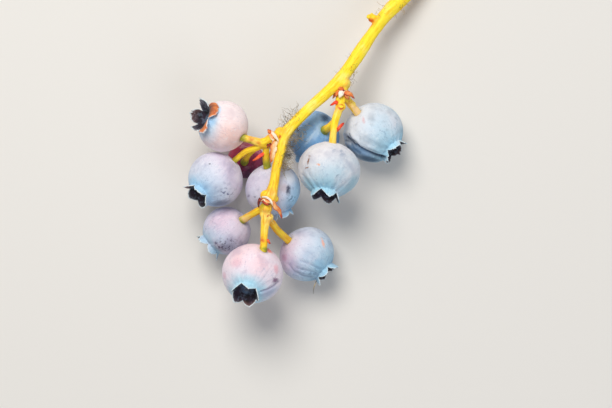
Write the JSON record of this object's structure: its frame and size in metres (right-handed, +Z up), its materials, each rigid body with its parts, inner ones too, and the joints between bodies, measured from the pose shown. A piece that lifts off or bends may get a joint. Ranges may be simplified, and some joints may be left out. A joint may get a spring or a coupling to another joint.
{
  "type": "blueberry sprig",
  "caption": "Picked sprig of ripe blueberries in branching clusters on a yellow-green twig with papery bud scales, lying flat.",
  "frame": {"origin": "middle of the sprig's outline, on the surface that it lies on", "axes": "+Z up off the surface, +Y towards the cut end of the twig, +X to its right seen from above"},
  "size_m": [0.0676, 0.0896, 0.0255],
  "materials": {
    "green_twig": "satin",
    "bud_scales": "matte",
    "bloomed_skin": "matte",
    "blushed_skin": "matte",
    "unripe_skin": "matte"
  },
  "bodies": {
    "root": {"twig": "green_twig", "bud_scales_right": "bud_scales", "bud_scales_left": "bud_scales", "bud_scales_tip": "bud_scales", "berry_top_left": "blushed_skin", "berry_left": "bloomed_skin", "berry_lower_left": "bloomed_skin", "berry_bottom": "blushed_skin", "berry_bottom_right": "bloomed_skin", "berry_middle": "bloomed_skin", "berry_right_front": "bloomed_skin", "berry_right": "bloomed_skin", "berry_behind_twig": "bloomed_skin", "berry_unripe": "unripe_skin"}
  },
  "joints": []
}
